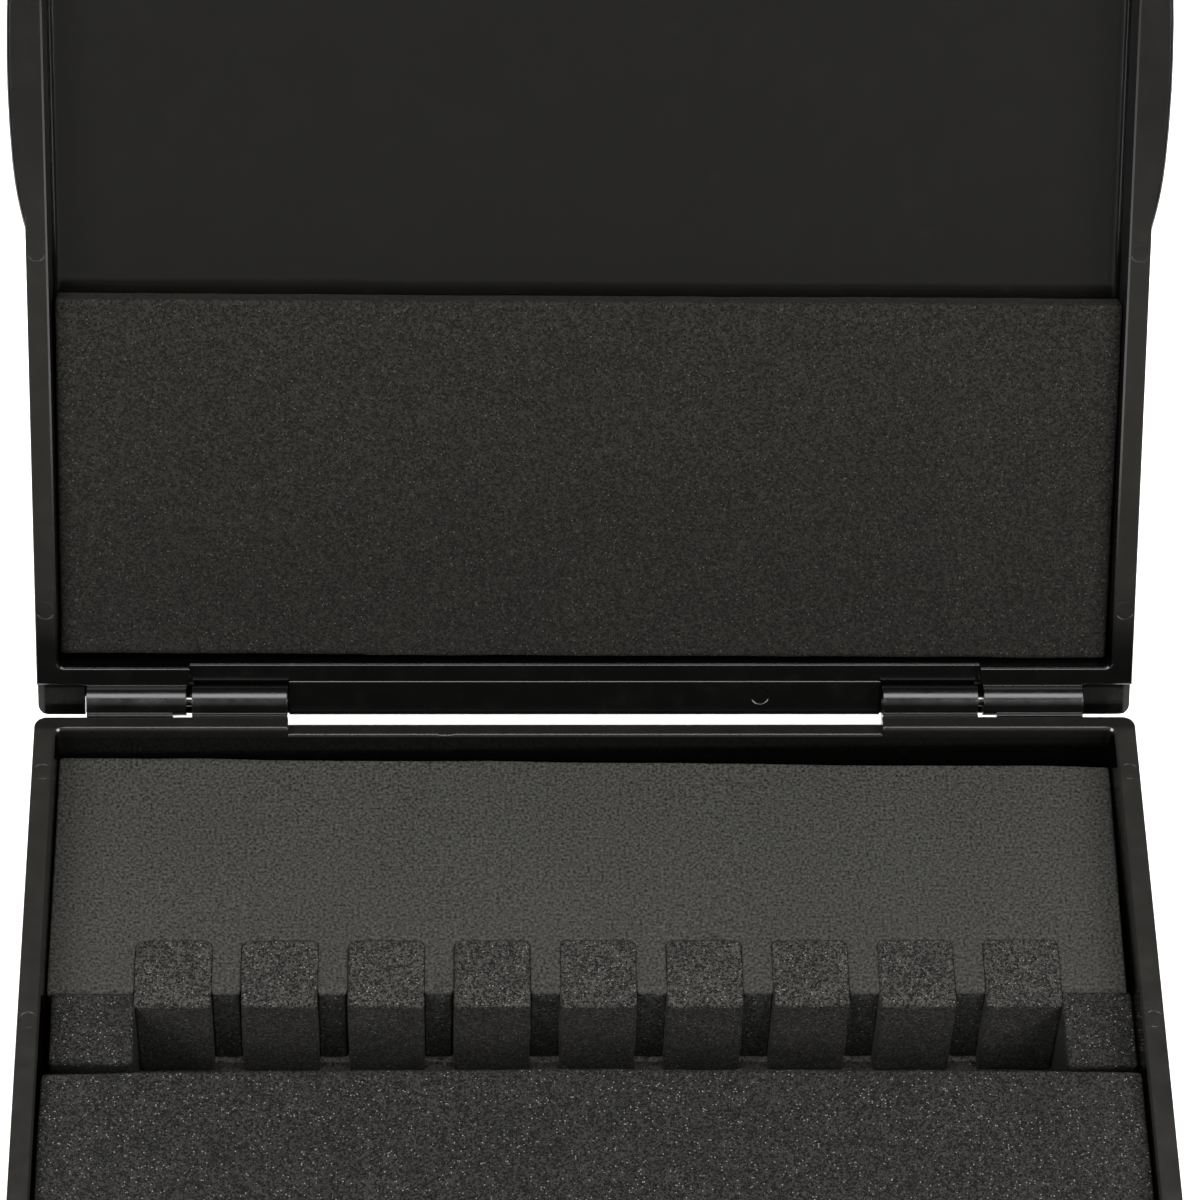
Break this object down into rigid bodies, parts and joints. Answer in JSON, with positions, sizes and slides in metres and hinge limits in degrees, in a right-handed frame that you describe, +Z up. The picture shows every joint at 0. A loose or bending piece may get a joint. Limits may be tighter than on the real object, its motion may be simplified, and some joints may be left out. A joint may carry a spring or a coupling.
{
  "type": "reed case",
  "caption": "Shallow moulded case with a pin-hinged lid, notched foam that grips small reeds by the cork, and a foam pad in the lid that holds them down.",
  "frame": {"origin": "middle of the flat underside of the base", "axes": "+X across the case to the right as the open case is used, -Y towards the user (the side that opens), +Z up out of the tray; the hinge axis runs along X behind the base"},
  "size_m": [0.115, 0.1458, 0.0911],
  "materials": {
    "case_plastic": "satin",
    "hinge_steel": "polished",
    "smooth_foam": "matte",
    "coarse_foam": "matte",
    "pad_foam": "matte",
    "liner_foam": "matte",
    "adhesive_film": "gloss"
  },
  "bodies": {
    "base": {"base_shell": "case_plastic", "hinge_pin_left": "hinge_steel", "hinge_pin_right": "hinge_steel", "floor_liner": "liner_foam", "rear_foam_block": "smooth_foam", "foam_peg_1": "coarse_foam", "foam_peg_2": "coarse_foam", "foam_peg_3": "coarse_foam", "foam_peg_4": "coarse_foam", "foam_peg_5": "coarse_foam", "foam_peg_6": "coarse_foam", "foam_peg_7": "coarse_foam", "foam_peg_8": "coarse_foam", "foam_peg_9": "coarse_foam", "end_block_left": "coarse_foam", "end_block_right": "coarse_foam", "front_foam_block": "coarse_foam"},
    "lid": {"lid_shell": "case_plastic", "lid_foam_pad": "pad_foam", "lid_pad_adhesive": "adhesive_film"}
  },
  "joints": [
    {"name": "lid_hinge", "type": "hinge", "parent": "base", "child": "lid", "pos_m": [0, 0.045, 0.02], "axis": [1, 0, 0], "range_deg": [0, 126]}
  ]
}
